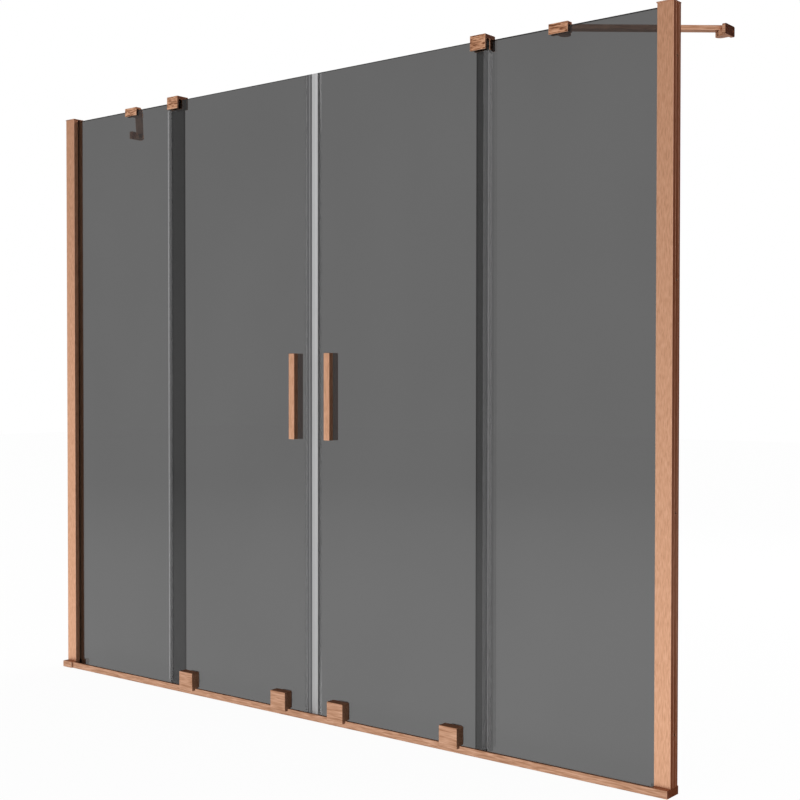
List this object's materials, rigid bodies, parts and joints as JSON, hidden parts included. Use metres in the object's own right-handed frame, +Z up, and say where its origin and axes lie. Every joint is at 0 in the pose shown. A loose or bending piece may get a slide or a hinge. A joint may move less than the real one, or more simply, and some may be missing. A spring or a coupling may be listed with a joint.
{
  "type": "sliding bath screen",
  "caption": "Framed alcove bath screen of tinted glass: fixed outer panes, sliding doors on rollers over a bottom rail, wall profiles, handles and stabiliser bars.",
  "frame": {"origin": "on the bottom rail's underside, on the bath rim, midway between the walls and between the planes of the panes", "axes": "+X along the screen to the right as seen from outside the bath, +Y into the bath, +Z up"},
  "size_m": [1.8, 0.296, 1.504],
  "materials": {
    "copper": "brushed copper colour",
    "tinted_glass": "grey tinted, polished",
    "seal_plastic": "translucent grey",
    "magnet_strip": "light grey matt",
    "black_rubber": "matt black",
    "steel": "plain stainless",
    "wheel_plastic": "white acetal"
  },
  "bodies": {
    "frame": {"bottom_rail": "copper", "rail_end_cap_left": "copper", "rail_end_cap_right": "copper", "rail_glazing_strips": "black_rubber", "rail_stops": "black_rubber", "profile_caps": "copper", "glazing_gaskets": "black_rubber", "profile_screws": "steel", "stabiliser_pins": "steel", "glass_pads": "black_rubber", "grub_screws": "steel", "wall_channel_left": "copper", "cover_profile_left": "copper", "fixed_glass_left": "tinted_glass", "top_guide_left": "copper", "stabiliser_clamp_left": "copper", "stabiliser_bar_left": "copper", "wall_flange_left": "copper", "wall_channel_right": "copper", "cover_profile_right": "copper", "fixed_glass_right": "tinted_glass", "top_guide_right": "copper", "stabiliser_clamp_right": "copper", "stabiliser_bar_right": "copper", "wall_flange_right": "copper"},
    "door_left": {"door_glass_left": "tinted_glass", "magnetic_seal_left": "seal_plastic", "seal_magnet_left": "magnet_strip", "edge_seal_left": "seal_plastic", "handle_outer_left": "copper", "handle_inner_left": "copper", "handle_screws_left": "steel", "block_plates_left": "copper", "block_pads_left": "black_rubber", "block_screws_left": "steel", "roller_axles_left": "steel", "roller_block_left_inner": "copper", "roller_block_left_outer": "copper"},
    "roller_left_inner": {"roller_wheel_left_inner": "wheel_plastic", "roller_bearing_left_inner": "steel"},
    "roller_left_outer": {"roller_wheel_left_outer": "wheel_plastic", "roller_bearing_left_outer": "steel"},
    "door_right": {"door_glass_right": "tinted_glass", "magnetic_seal_right": "seal_plastic", "seal_magnet_right": "magnet_strip", "edge_seal_right": "seal_plastic", "handle_outer_right": "copper", "handle_inner_right": "copper", "handle_screws_right": "steel", "block_plates_right": "copper", "block_pads_right": "black_rubber", "block_screws_right": "steel", "roller_axles_right": "steel", "roller_block_right_inner": "copper", "roller_block_right_outer": "copper"},
    "roller_right_inner": {"roller_wheel_right_inner": "wheel_plastic", "roller_bearing_right_inner": "steel"},
    "roller_right_outer": {"roller_wheel_right_outer": "wheel_plastic", "roller_bearing_right_outer": "steel"}
  },
  "joints": [
    {"name": "door_left_slide", "type": "slide", "parent": "frame", "child": "door_left", "axis": [-1, 0, 0], "range_m": [0, 0.365]},
    {"name": "roller_left_inner_spin", "type": "hinge", "parent": "door_left", "child": "roller_left_inner", "pos_m": [-0.088, -0.01875, 0.0303], "axis": [0, -1, 0], "continuous": true},
    {"name": "roller_left_outer_spin", "type": "hinge", "parent": "door_left", "child": "roller_left_outer", "pos_m": [-0.4025, -0.01875, 0.0303], "axis": [0, -1, 0], "continuous": true},
    {"name": "door_right_slide", "type": "slide", "parent": "frame", "child": "door_right", "axis": [1, 0, 0], "range_m": [0, 0.365]},
    {"name": "roller_right_inner_spin", "type": "hinge", "parent": "door_right", "child": "roller_right_inner", "pos_m": [0.088, -0.01875, 0.0303], "axis": [0, 1, 0], "continuous": true},
    {"name": "roller_right_outer_spin", "type": "hinge", "parent": "door_right", "child": "roller_right_outer", "pos_m": [0.4025, -0.01875, 0.0303], "axis": [0, 1, 0], "continuous": true}
  ],
  "couplings": [
    {"joint": "roller_left_inner_spin", "follows": "door_left_slide", "rad_per_m": 71.429},
    {"joint": "roller_left_outer_spin", "follows": "door_left_slide", "rad_per_m": 71.429},
    {"joint": "roller_right_inner_spin", "follows": "door_right_slide", "rad_per_m": 71.429},
    {"joint": "roller_right_outer_spin", "follows": "door_right_slide", "rad_per_m": 71.429}
  ]
}
